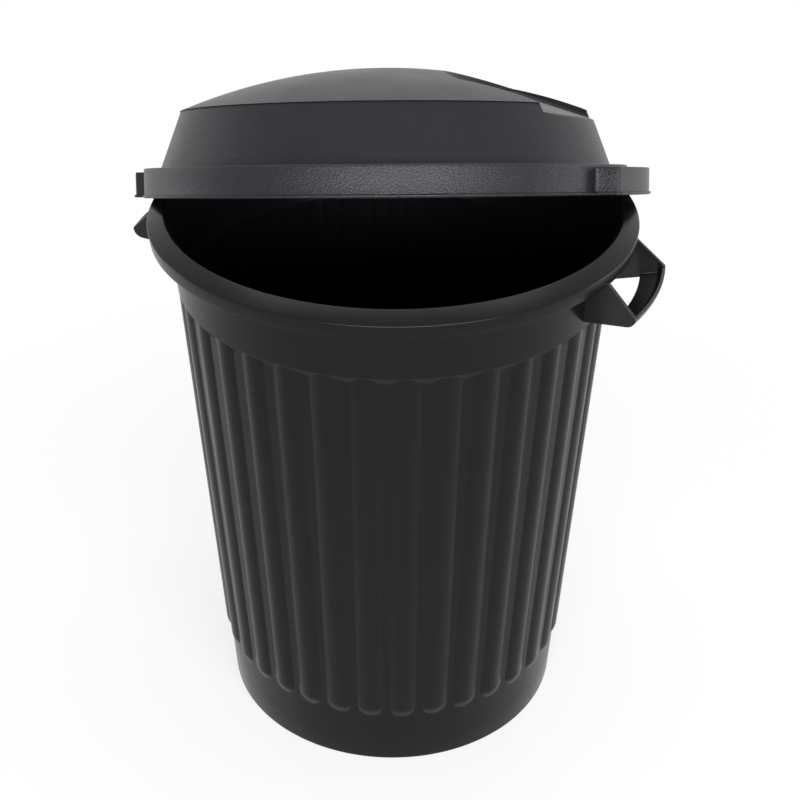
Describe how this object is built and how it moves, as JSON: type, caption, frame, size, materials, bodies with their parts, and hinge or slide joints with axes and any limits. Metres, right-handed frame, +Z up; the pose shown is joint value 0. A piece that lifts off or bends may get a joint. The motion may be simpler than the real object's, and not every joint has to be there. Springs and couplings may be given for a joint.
{
  "type": "trash can with lid",
  "caption": "Round ribbed plastic trash can with tapering sides, bracket handles and a domed lid that leans open on its rim.",
  "frame": {"origin": "middle of the base's flat face, on the floor", "axes": "+Z up along the bin's axis, handles on +X and -X"},
  "size_m": [0.6013, 0.5803, 0.731],
  "materials": {
    "tub_plastic": "satin",
    "handle_plastic": "semi_gloss",
    "lid_plastic": "fine stipple"
  },
  "bodies": {
    "bin": {"bin_tub": "tub_plastic", "handle_right": "handle_plastic", "handle_left": "handle_plastic"},
    "lid": {"lid": "lid_plastic"}
  },
  "joints": [
    {"name": "lid_lift", "type": "slide", "parent": "bin", "child": "lid", "axis": [-0.1567, 0.3633, 0.9184], "range_m": [0, 0.25]}
  ]
}
